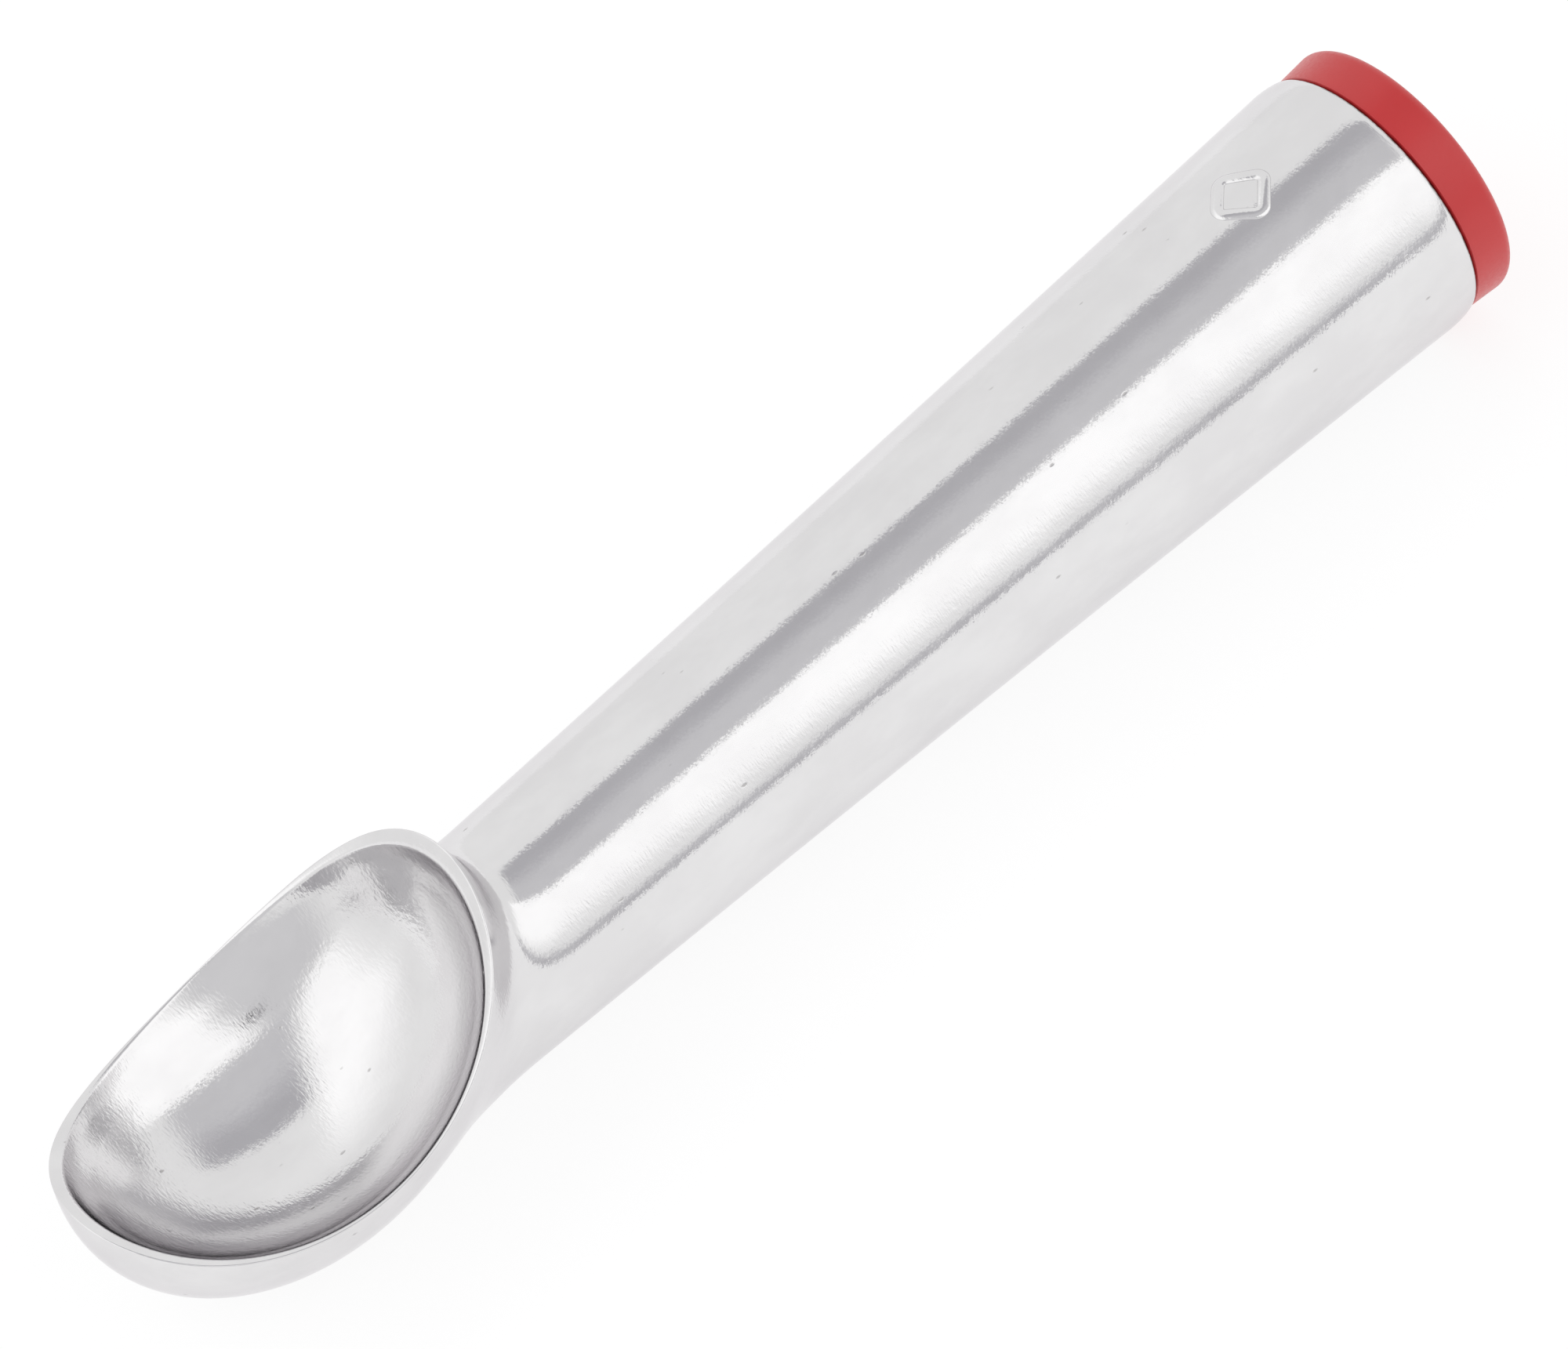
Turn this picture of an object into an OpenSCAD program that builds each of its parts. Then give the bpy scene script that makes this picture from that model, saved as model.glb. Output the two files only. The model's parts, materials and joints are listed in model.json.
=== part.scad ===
// Dipper for hard ice cream: a one-piece cast bowl and hollow grip that holds a heat-carrying liquid, with a
// coloured cap pressed into the butt. Nothing on it moves.
// The handle's axis is the working X axis: 0 at the middle of the bowl, growing towards the cap. The opening
// looks up. The placed model is pitched a little, so that it lies on the bowl's back and the grip's shoulder.

/* [Bowl] */
// Half the length of the egg shape that the bowl is cut from
bowl_half_l = 26.8; // [22:0.1:33]
// Half the width of that egg shape
bowl_half_w = 19.1; // [15.8:0.1:23]
// Half the height of that egg shape
bowl_half_h = 22.1; // [18.2:0.1:27]
// How far the middle of the egg shape stands above the handle's axis
bowl_lift = 10.6; // [8.7:0.1:13]
// Tilt of the egg shape, its heel end raised
bowl_tilt = 18.1; // [15:0.1:22]
// Wall at the tip and at the heel, at the rim
end_wall = 1.6; // [1.2:0.1:2.4]
// Wall at the two sides, at the rim's lowest point
side_wall = 0.7; // [0.5:0.1:1.2]
// Thickness of the bowl's floor
floor_wall = 7.1; // [5.9:0.1:8.6]
// How far the middle of the egg shape that hollows the bowl stands above the other one's middle
hollow_rise = 8.7; // [7.2:0.1:10.4]
// How far the hollow's middle lies towards the tip
hollow_shift = 1.1; // [0.5:0.1:1.5]

/* [Rim] */
// Height of the rim's lowest point above the handle's axis
rim_low_h = 4.4; // [3.6:0.1:5.4]
// Height of the heel of the rim above the handle's axis
rim_heel_h = 19.5; // [16.2:0.1:23.5]
// Distance from the bowl's middle to the rim's lowest point, towards the tip
rim_low_x = 5.0; // [4:0.1:6]
// Distance from the end of the egg shape in to the heel of the rim
heel_inset = 1.5; // [1:0.1:2]

/* [Handle] */
// Distance from the bowl's middle to the butt face of the casting
handle_l = 152.6; // [125:0.1:184]
// Diameter of the handle at its thin end, where it leaves the bowl
neck_d = 23.1; // [19.2:0.1:28]
// Diameter of the handle at its thick end
grip_d = 32; // [27:0.1:38.5]
// How hollow the taper is: 0 is a straight cone
taper_hollow = 0.22; // [0:0.01:0.4]
// Distance from the bowl's middle to the start of the neck
neck_x = 18; // [15:0.1:21]
// Length of the rounded shoulder at the butt
shoulder_l = 2.8; // [2:0.1:4]
// How far the shoulder drops by the butt face
shoulder_drop = 0.5; // [0.2:0.1:1]
// Distance of the raised size mark from the butt face, to the mark's middle
mark_inset = 15.8; // [13:0.1:19]
// Size of the raised lozenge mark, from corner to corner
mark_d = 8.6; // [6:0.1:10]
// Width of the raised line that forms the lozenge
mark_line = 1; // [0.8:0.1:1.4]
// Height of the raised line above the grip
mark_rise = 0.4; // [0.3:0.05:0.6]

/* [Sealed chamber] */
// Metal between the bowl's end and the chamber's blind end
blind_wall = 2.2; // [1.8:0.1:4]
// Wall round the bored socket at the butt
socket_wall = 3.2; // [2.6:0.1:4]
// Depth of the bored socket
socket_depth = 13; // [11:0.1:18]
// Width of the ledge that the sealing plug seats on
ledge_w = 1; // [0.8:0.1:1.5]
// Thickness of the sealing plug
plug_t = 5; // [4:0.1:6]
// Depth of the groove round the sealing plug
groove_depth = 1.5; // [1.2:0.1:2]
// Width of that groove
groove_w = 2.2; // [1.8:0.1:2.6]
// Length of the air space left for the liquid to expand
air_l = 4; // [2:0.1:8]

/* [End cap] */
// Diameter of the cap at its widest
cap_d = 31.6; // [26.4:0.1:38]
// How much narrower the cap is where it meets the casting
cap_draft = 0.3; // [0:0.05:0.6]
// Thickness of the part of the cap that shows
cap_t = 5.3; // [4.4:0.1:6.5]
// Radius of the cap's outer edge
cap_round = 1.2; // [0.8:0.1:1.8]
// Wall of the cap's spigot
spigot_wall = 2; // [1.5:0.1:3]

/* [Clearances] */
// Seam that stays between the casting and the cap's flange when the spigot has bottomed on the plug
seam_gap = 0.2; // [0.1:0.05:0.4]
// Radial gap round the cap's spigot
spigot_gap = 0.06; // [0.02:0.01:0.15]
// Radial gap round the sealing plug
plug_gap = 0.06; // [0.02:0.01:0.15]
// Radial gap between the liquid's solid and the chamber wall
liquid_gap = 0.05; // [0.02:0.01:0.1]

/* [Hidden] */
$fn = 96;
over = 1;             // how far a cutter runs past what it cuts
taper_steps = 12;     // cones that make up the hollow taper
round_steps = 6;      // cones that make up a rounded edge

neck_r = neck_d / 2;
grip_r = grip_d / 2;
cap_r = cap_d / 2;
shoulder_x = handle_l - shoulder_l;
socket_r = grip_r - socket_wall;
socket_x = handle_l - socket_depth;
chamber_wall = socket_wall + ledge_w;
chamber_x = bowl_half_l + blind_wall;

// The rim is cut by a round bar that lies across the bowl, through the rim's lowest point and its heel
heel_run = bowl_half_l - heel_inset + rim_low_x;
heel_rise = rim_heel_h - rim_low_h;
rim_r = (pow(heel_run, 2) + pow(heel_rise, 2)) / (2 * heel_rise);

// The hollow is shallower than the outside and opens wider: its width follows from the side walls at the rim
hollow_half_l = bowl_half_l - end_wall + 0.2;
hollow_half_h = bowl_half_h - floor_wall + hollow_rise;
rim_half_w = bowl_half_w * sqrt(1 - pow((bowl_lift - rim_low_h) / bowl_half_h, 2));
hollow_lift = bowl_lift + hollow_rise;
hollow_half_w = (rim_half_w - side_wall) / sqrt(1 - pow((hollow_lift - rim_low_h) / hollow_half_h, 2));

// Reach of the tilted egg shape below its middle and towards the tip
egg_drop = norm([bowl_half_l * sin(bowl_tilt), bowl_half_h * cos(bowl_tilt)]);
egg_reach = norm([bowl_half_l * cos(bowl_tilt), bowl_half_h * sin(bowl_tilt)]);
egg_skew = (pow(bowl_half_l, 2) - pow(bowl_half_h, 2)) * sin(bowl_tilt) * cos(bowl_tilt);
bowl_low_x = -egg_skew / egg_drop;
bowl_low_z = bowl_lift - egg_drop;

// Lying on a table: pitch of the handle's axis, and height of the working origin
rest_pitch = atan((bowl_low_z + grip_r) / (shoulder_x - bowl_low_x));
rest_lift = grip_r * cos(rest_pitch) - shoulder_x * sin(rest_pitch);
cap_end_x = handle_l + seam_gap + cap_t;
tip_end = -egg_reach * cos(rest_pitch) - (bowl_lift - egg_skew / egg_reach) * sin(rest_pitch);
butt_end = cap_end_x * cos(rest_pitch) + (cap_r - cap_round) * sin(rest_pitch);
mid_x = (tip_end + butt_end) / 2;

// Radius of the handle at x: a taper that is slightly hollow, then a shoulder that rounds over
function taper_share(x) = (x - neck_x) / (shoulder_x - neck_x);
function taper_r(x) = let (s = taper_share(x))
    neck_r + (grip_r - neck_r) * (s - taper_hollow * s * (1 - s));
function shoulder_r(x) = let (q = (x - shoulder_x) / shoulder_l)
    grip_r - shoulder_drop * (1 - sqrt(max(0, 1 - q * q)));
function stations(from, to, steps) = [for (i = [0:steps]) from + (to - from) * i / steps];

// Turns a half profile of [radius, x] points round the handle's axis
module turned(profile) {
    rotate([0, 90, 0])
        rotate_extrude()
            polygon(profile);
}

// Puts the working frame down on the table, with the model's origin under its middle
module placed() {
    translate([-mid_x, 0, rest_lift])
        rotate([0, -rest_pitch, 0])
            children();
}

// A tilted egg shape of the half sizes given. The ball's poles lie to the sides and its seam on top, where the
// rim is cut away, so that the bowl is one smooth face inside and one outside
module egg(half_sizes, shift, lift) {
    translate([-shift, 0, lift])
        rotate([0, -bowl_tilt, 0])
            scale(half_sizes)
                rotate([90, -90, 0])
                    sphere(1);
}

// The bar that cuts the dipped rim
module rim_cutter() {
    translate([-rim_low_x, 0, rim_low_h + rim_r])
        rotate([90, 0, 0])
            cylinder(r = rim_r, h = 2 * bowl_half_w + 2 * over, center = true);
}

// Outside of the handle, raised by rise, its thin end domed so that it runs into the bowl's back
module handle_outside(rise = 0) {
    dome = [for (i = [0:round_steps]) let (a = 90 * i / round_steps)
        [(neck_r + rise) * sin(a), neck_x * (1 - cos(a))]];
    taper = [for (x = stations(neck_x, shoulder_x, taper_steps)) [taper_r(x) + rise, x]];
    shoulder = [for (x = stations(shoulder_x, handle_l, round_steps)) [shoulder_r(x) + rise, x]];
    turned(concat(dome, [for (i = [1:taper_steps]) taper[i]], [for (i = [1:round_steps]) shoulder[i]],
        [[0, handle_l]]));
}

// Half profile of the chamber from its blind end to the ledge, with a radial gap and stopped short by stop
function chamber_profile(gap, stop) = let (far_x = socket_x - stop) concat(
    [[0, chamber_x]],
    [for (x = stations(chamber_x, far_x, taper_steps)) [taper_r(x) - chamber_wall - gap, x]],
    [[0, far_x]]);

// Raised lozenge on top of the grip, near the butt: a plain size mark
module size_mark() {
    intersection() {
        handle_outside(mark_rise);
        translate([handle_l - mark_inset, 0, 0])
            linear_extrude(grip_d)
                difference() {
                    circle(d = mark_d, $fn = 4);
                    circle(d = mark_d - 2 * mark_line * sqrt(2), $fn = 4);
                }
    }
}

// One casting: bowl, neck and hollow grip
module scoop_body() color([0.80, 0.81, 0.82]) placed() {
    difference() {
        union() {
            difference() {
                egg([bowl_half_l, bowl_half_w, bowl_half_h], 0, bowl_lift);
                rim_cutter();
            }
            handle_outside();
            size_mark();
        }
        egg([hollow_half_l, hollow_half_w, hollow_half_h], hollow_shift, hollow_lift);
        turned(chamber_profile(0, -over));
        translate([socket_x, 0, 0])
            rotate([0, 90, 0])
                cylinder(r = socket_r, h = socket_depth + over);
    }
}

// The sealed liquid, as a solid of the space it fills
module heat_fluid() color([0.62, 0.78, 0.86, 0.6]) placed() {
    turned(chamber_profile(liquid_gap, air_l));
}

// Grooved plug that closes the chamber, seated on the ledge at the bottom of the socket
module sealing_plug() color([0.70, 0.71, 0.72]) placed() {
    plug_r = socket_r - plug_gap;
    groove_x = socket_x + (plug_t - groove_w) / 2;
    difference() {
        translate([socket_x, 0, 0])
            rotate([0, 90, 0])
                cylinder(r = plug_r, h = plug_t);
        turned([[plug_r - groove_depth, groove_x], [plug_r + over, groove_x],
            [plug_r + over, groove_x + groove_w], [plug_r - groove_depth, groove_x + groove_w]]);
    }
}

// Rubber ring in the plug's groove, squeezed against the bore
module seal_ring() color([0.12, 0.12, 0.13]) placed() {
    cord_r = (groove_depth + plug_gap) / 2;
    translate([socket_x + plug_t / 2, 0, 0])
        rotate([0, 90, 0])
            rotate_extrude()
                translate([socket_r - cord_r, 0])
                    circle(cord_r, $fn = 32);
}

// Coloured cap: a flange that shows and a hollow spigot in the socket
module end_cap() color([0.78, 0.19, 0.21]) placed() {
    flange_x = handle_l + seam_gap;
    spigot_r = socket_r - spigot_gap;
    spigot_x = socket_x + plug_t;
    edge = [for (i = [0:round_steps]) let (a = 90 * i / round_steps)
        [cap_r - cap_round * (1 - cos(a)), cap_end_x - cap_round * (1 - sin(a))]];
    difference() {
        turned(concat([[0, spigot_x], [spigot_r, spigot_x], [spigot_r, flange_x], [cap_r - cap_draft, flange_x]],
            edge, [[0, cap_end_x]]));
        translate([spigot_x - over, 0, 0])
            rotate([0, 90, 0])
                cylinder(r = spigot_r - spigot_wall, h = flange_x - spigot_x + over);
    }
}

scoop_body();
heat_fluid();
sealing_plug();
seal_ring();
end_cap();
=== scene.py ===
"""Looks of a hand dipper for hard ice cream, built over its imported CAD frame.

The dipper is one polished casting (bowl, neck and hollow grip) closed by a coloured cap. All shapes are
worked out in the working frame of the part, in millimetres: X runs along the handle from the middle of the
bowl to the cap, Z is up and the bowl's opening looks up. Placement then lays them on the table in metres.
"""

import json
import logging
import math
from dataclasses import dataclass, field
from enum import Enum
from typing import Any, Callable

import bpy
import numpy as np
from mathutils import Matrix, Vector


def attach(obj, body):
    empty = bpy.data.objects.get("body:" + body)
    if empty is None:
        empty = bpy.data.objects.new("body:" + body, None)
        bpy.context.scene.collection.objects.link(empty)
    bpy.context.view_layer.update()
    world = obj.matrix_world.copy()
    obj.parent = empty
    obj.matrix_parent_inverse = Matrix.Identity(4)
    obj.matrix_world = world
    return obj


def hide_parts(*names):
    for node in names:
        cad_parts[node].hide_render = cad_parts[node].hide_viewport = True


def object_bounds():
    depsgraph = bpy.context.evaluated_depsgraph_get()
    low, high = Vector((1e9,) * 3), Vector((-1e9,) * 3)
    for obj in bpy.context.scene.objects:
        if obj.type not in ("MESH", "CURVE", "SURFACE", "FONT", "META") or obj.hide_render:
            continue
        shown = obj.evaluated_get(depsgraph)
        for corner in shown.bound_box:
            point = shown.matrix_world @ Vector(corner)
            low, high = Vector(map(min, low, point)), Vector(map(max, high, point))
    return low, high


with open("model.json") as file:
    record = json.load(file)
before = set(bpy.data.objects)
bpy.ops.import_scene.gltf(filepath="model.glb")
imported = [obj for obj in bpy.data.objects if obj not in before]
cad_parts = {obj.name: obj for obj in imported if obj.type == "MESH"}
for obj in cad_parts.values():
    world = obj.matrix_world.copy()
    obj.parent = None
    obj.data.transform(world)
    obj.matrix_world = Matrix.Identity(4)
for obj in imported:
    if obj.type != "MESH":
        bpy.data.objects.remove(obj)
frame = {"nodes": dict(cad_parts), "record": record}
cad_bounds = [list(map(float, corner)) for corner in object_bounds()]

LOG = logging.getLogger("dipper")
Array = np.ndarray
Gap = Callable[[Array], Array]
Triple = tuple[float, float, float]
Colour = tuple[float, float, float, float]

MM_PER_M = 1000.0
HALVINGS = 44
TINY = 1e-9
EVEN: Triple = (1.0, 1.0, 1.0)


class Slot(Enum):
    """Material slots of the record, one for each substance."""

    CAST_METAL = "cast_metal"
    LIQUID = "liquid"
    PLUG_METAL = "plug_metal"
    SEAL_RUBBER = "seal_rubber"
    CAP_PLASTIC = "cap_plastic"


# ---------------------------------------------------------------- arithmetic shared by the shapes

def ease(value: Array) -> Array:
    """Return 3v^2 - 2v^3 of the value held between 0 and 1."""
    held = np.clip(value, 0.0, 1.0)
    return held * held * (3.0 - 2.0 * held)


def soft_min(first: Array, second: Array, reach: float) -> Array:
    """Join two distance fields with a fillet.

    The lesser distance, less h^3 * reach / 6, where h falls from 1 to 0 as the distances draw apart by reach.

    Args:
        first: Distances to the first form.
        second: Distances to the second form.
        reach: How far apart the distances may be and still be blended.

    Returns:
        Distances to the joined form.
    """
    share = np.clip(reach - np.abs(first - second), 0.0, None) / reach
    return np.minimum(first, second) - share ** 3 * reach / 6.0


def unit(vectors: Array) -> Array:
    """Return the vectors at length 1."""
    return vectors / np.linalg.norm(vectors, axis=-1, keepdims=True)


def leave_form(start: Array, ways: Array, gap: Gap, far: float = 90.0) -> Array:
    """Find where rays that start inside a form leave it, by halving the reach again and again.

    Args:
        start: The common start of the rays.
        ways: Unit directions of the rays.
        gap: Signed distance to the form, negative inside.
        far: A reach that is outside for certain.

    Returns:
        The points on the form's surface.
    """
    near_reach = np.zeros(ways.shape[:-1])
    far_reach = np.full(ways.shape[:-1], far)
    for _ in range(HALVINGS):
        middle = (near_reach + far_reach) / 2.0
        inside = gap(start + ways * middle[..., None]) < 0.0
        near_reach = np.where(inside, middle, near_reach)
        far_reach = np.where(inside, far_reach, middle)
    return start + ways * far_reach[..., None]


def rounded_corner(before: Array, corner: Array, after: Array, steps: int) -> Array:
    """Carry a loop of corners round a parabola arc: (1-s)^2 before + 2s(1-s) corner + s^2 after.

    Args:
        before: Loop of points where the rounding starts.
        corner: Loop of the sharp corners.
        after: Loop of points where the rounding ends.
        steps: How many rows the arc is divided into.

    Returns:
        Rows of loops, steps + 1 of them.
    """
    share = np.linspace(0.0, 1.0, steps + 1)[:, None, None]
    return (1 - share) ** 2 * before + 2 * share * (1 - share) * corner + share ** 2 * after


# ---------------------------------------------------------------- placement and mesh making

@dataclass(frozen=True)
class Placement:
    """Lays the working frame on the table: a pitch about Y and a shift, read from the record's butt face."""

    butt_reach: float = 158.1

    def butt_face(self) -> dict[str, Any]:
        """Return the record's mount for the butt face."""
        return next(mount for mount in frame["record"]["mounts"] if mount["name"] == "butt_face")

    def pitch(self) -> Array:
        """Return the working X axis as it lies on the table."""
        return unit(np.array(self.butt_face()["axis"], float))

    def turn(self, vectors: Array) -> Array:
        """Turn working vectors to the table frame: x and z are turned by the pitch, y stays."""
        forward = self.pitch()
        upward = np.array([-forward[2], 0.0, forward[0]])
        rows = np.stack([forward, np.array([0.0, 1.0, 0.0]), upward])
        return np.asarray(vectors, float) @ rows

    def place(self, points: Array) -> Array:
        """Return working points, in millimetres, as table points in metres."""
        origin = np.array(self.butt_face()["pos_m"], float) - self.pitch() * self.butt_reach / MM_PER_M
        return self.turn(points) / MM_PER_M + origin


@dataclass
class Shell:
    """A closed grid surface: rows of loops, each end either closed by a pole or joined to the other end."""

    rows: Array
    ring: bool = False
    crease: float = 48.0

    def faces(self) -> tuple[Array, list[int]]:
        """Join neighbouring loops with quads, and the first and last loops to their poles with triangles.

        Returns:
            The flat list of face corners, and the number of corners of each face.
        """
        count, around = self.rows.shape[:2]
        here = np.arange(around)
        beside = np.roll(here, -1)
        row = np.arange(count if self.ring else count - 1)[:, None]
        above = (row + 1) % count
        quads = np.stack([row * around + here, row * around + beside,
                          above * around + beside, above * around + here], axis=-1).reshape(-1, 4)
        if self.ring:
            return quads.ravel(), [4] * len(quads)
        first = count * around
        start = np.stack([beside, here, np.full(around, first)], axis=-1)
        last = (count - 1) * around
        end = np.stack([last + here, last + beside, np.full(around, first + 1)], axis=-1)
        flat = np.concatenate([quads.ravel(), start.ravel(), end.ravel()])
        return flat, [4] * len(quads) + [3] * (2 * around)

    def vertices(self) -> Array:
        """Return the grid's points, then the two poles as the means of the first and last loops."""
        points = self.rows.reshape(-1, 3)
        if self.ring:
            return points
        poles = np.stack([self.rows[0].mean(axis=0), self.rows[-1].mean(axis=0)])
        return np.concatenate([points, poles])

    def mesh(self, name: str, placement: Placement) -> bpy.types.Object:
        """Make the Blender object, its faces turned outwards by the sign of the enclosed volume.

        Args:
            name: Name of the object and its mesh.
            placement: Where the working frame lies.

        Returns:
            The object, at the origin, unturned and unscaled.
        """
        points = placement.place(self.vertices())
        flat, sizes = self.faces()
        starts = np.concatenate([[0], np.cumsum(sizes)[:-1]])
        a = points[flat[starts]]
        b = points[flat[starts + 1]]
        c = points[flat[starts + 2]]
        d = points[flat[starts + np.array(sizes) - 1]]
        volume = np.einsum("ij,ij->", a, np.cross(b, c)) + np.einsum("ij,ij->", a, np.cross(c, d))
        if volume < 0:
            flat, sizes = flat[::-1], sizes[::-1]
            starts = np.concatenate([[0], np.cumsum(sizes)[:-1]])
        data = bpy.data.meshes.new(name)
        data.vertices.add(len(points))
        data.vertices.foreach_set("co", points.ravel().astype(np.float32))
        data.loops.add(len(flat))
        data.loops.foreach_set("vertex_index", flat.astype(np.int32))
        data.polygons.add(len(sizes))
        data.polygons.foreach_set("loop_start", starts.astype(np.int32))
        data.update(calc_edges=True)
        data.validate()
        data.shade_smooth()
        data.set_sharp_from_angle(angle=math.radians(self.crease))
        piece = bpy.data.objects.new(name, data)
        bpy.context.scene.collection.objects.link(piece)
        return piece


def turned_rows(profile: Array, around: int) -> Array:
    """Turn a half profile about the handle's axis: (x, r) becomes (x, r sin t, -r cos t).

    Args:
        profile: Points of (x, r), one for each row.
        around: Number of points in each loop.

    Returns:
        Rows of loops.
    """
    angle = np.arange(around) * (2 * math.pi / around)
    x, r = profile[:, 0, None], profile[:, 1, None]
    return np.stack([x + 0 * angle, r * np.sin(angle), -r * np.cos(angle)], axis=-1)


# ---------------------------------------------------------------- forms

@dataclass(frozen=True)
class BowlForm:
    """The egg shape that the bowl is cut from, and the round bar that cuts its dipped rim.

    Far is a reach in plan that is outside both eggs. Bar_stop keeps x short of where the bar's side ends.
    """

    half_length: float = 26.8
    half_width: float = 19.1
    half_height: float = 22.1
    lift: float = 10.6
    tilt: float = 18.1
    hollow_half: Triple = (25.5, 22.85, 23.7)
    hollow_shift: float = 1.1
    hollow_lift: float = 19.3
    rim_low_height: float = 4.4
    rim_heel_height: float = 19.5
    rim_low_reach: float = 5.0
    heel_inset: float = 1.5
    far: float = 40.0
    bar_stop: float = 6.0

    def radii(self, inner: bool) -> Array:
        """Return the half sizes of the outer egg, or of the shallower egg that hollows it."""
        return np.array(self.hollow_half if inner else (self.half_length, self.half_width, self.half_height))

    def middle(self, inner: bool) -> Array:
        """Return the middle of the outer egg, or of the hollow one."""
        return np.array([-self.hollow_shift, 0.0, self.hollow_lift] if inner else [0.0, 0.0, self.lift])

    def axes(self) -> Array:
        """Return the egg's long, wide and high axes as rows."""
        slope = math.radians(self.tilt)
        return np.array([[math.cos(slope), 0.0, math.sin(slope)], [0.0, 1.0, 0.0],
                         [-math.sin(slope), 0.0, math.cos(slope)]])

    def to_ball(self, points: Array, inner: bool) -> Array:
        """Return points as the egg's own coordinates, where the egg is a ball of radius 1."""
        return (points - self.middle(inner)) @ self.axes().T / self.radii(inner)

    def from_ball(self, points: Array, inner: bool) -> Array:
        """Return points of the unit ball as working points."""
        return (points * self.radii(inner)) @ self.axes() + self.middle(inner)

    def gap(self, points: Array, inner: bool = False) -> Array:
        """Return the distance to the egg, k(k-1)/g, with k the ball radius and g its slope."""
        ball = self.to_ball(points, inner)
        radius = np.linalg.norm(ball, axis=-1)
        slope = np.linalg.norm(ball / self.radii(inner), axis=-1)
        return radius * (radius - 1.0) / np.maximum(slope, TINY)

    def rim_radius(self) -> float:
        """Return the bar's radius: it passes through the rim's lowest point and its heel."""
        run = self.half_length - self.heel_inset + self.rim_low_reach
        rise = self.rim_heel_height - self.rim_low_height
        return (run ** 2 + rise ** 2) / (2 * rise)

    def rim_height(self, x: Array) -> Array:
        """Return the height of the bar's underside at x."""
        radius = self.rim_radius()
        drop_squared = np.maximum(radius ** 2 - (x + self.rim_low_reach) ** 2, 0.0)
        return self.rim_low_height + radius - np.sqrt(drop_squared)

    def rim_loop(self, angle: Array, inner: bool) -> Array:
        """Find the loop where the bar cuts the egg.

        The point at reach q along (-cos t, sin t) in plan has the bar's height; q is found by halving.

        Args:
            angle: Plan angles, 0 at the tip and pi at the heel.
            inner: Whether the hollowing egg is cut.

        Returns:
            The loop of points.
        """
        low = np.zeros_like(angle)
        high = np.full_like(angle, self.far)
        for _ in range(HALVINGS):
            reach = (low + high) / 2.0
            inside = self.gap(self._on_bar(angle, reach), inner) < 0.0
            low = np.where(inside, reach, low)
            high = np.where(inside, high, reach)
        return self._on_bar(angle, (low + high) / 2.0)

    def _on_bar(self, angle: Array, reach: Array) -> Array:
        """Return the points of the bar's underside above the plan points at that angle and reach."""
        radius = self.rim_radius()
        x = np.clip(-reach * np.cos(angle), -self.rim_low_reach - radius, radius - self.bar_stop)
        return np.stack([x, reach * np.sin(angle), self.rim_height(x)], axis=-1)


@dataclass(frozen=True)
class GripForm:
    """The tapered round handle, its shoulder, and the bored butt."""

    butt: float = 152.6
    neck_d: float = 23.1
    grip_d: float = 32.0
    hollow: float = 0.22
    neck_x: float = 18.0
    shoulder: float = 2.8
    shoulder_drop: float = 0.5
    socket_wall: float = 3.2
    socket_depth: float = 13.0
    ledge: float = 1.0
    blind: float = 29.0

    def shoulder_x(self) -> float:
        """Return where the shoulder starts."""
        return self.butt - self.shoulder

    def radius(self, x: Array) -> Array:
        """Return the taper's radius, n + (g - n)(s - hollow s(1 - s)).

        n and g are the radii of the neck and the grip; s runs from 0 at the neck to 1 at the shoulder.
        """
        share = (x - self.neck_x) / (self.shoulder_x() - self.neck_x)
        sunk = share - self.hollow * share * (1 - share)
        return self.neck_d / 2 + (self.grip_d - self.neck_d) / 2 * sunk

    def gap(self, points: Array) -> Array:
        """Return the distance to the handle: to the taper past the neck, to a dome before it."""
        across = np.hypot(points[..., 1], points[..., 2])
        taper = across - self.radius(np.maximum(points[..., 0], self.neck_x))
        half = np.array([self.neck_x, self.neck_d / 2])
        local = np.stack([points[..., 0] - self.neck_x, across], axis=-1) / half
        size = np.linalg.norm(local, axis=-1)
        dome = size * (size - 1.0) / np.maximum(np.linalg.norm(local / half, axis=-1), TINY)
        return np.where(points[..., 0] > self.neck_x, taper, dome)


# ---------------------------------------------------------------- finishes

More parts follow.
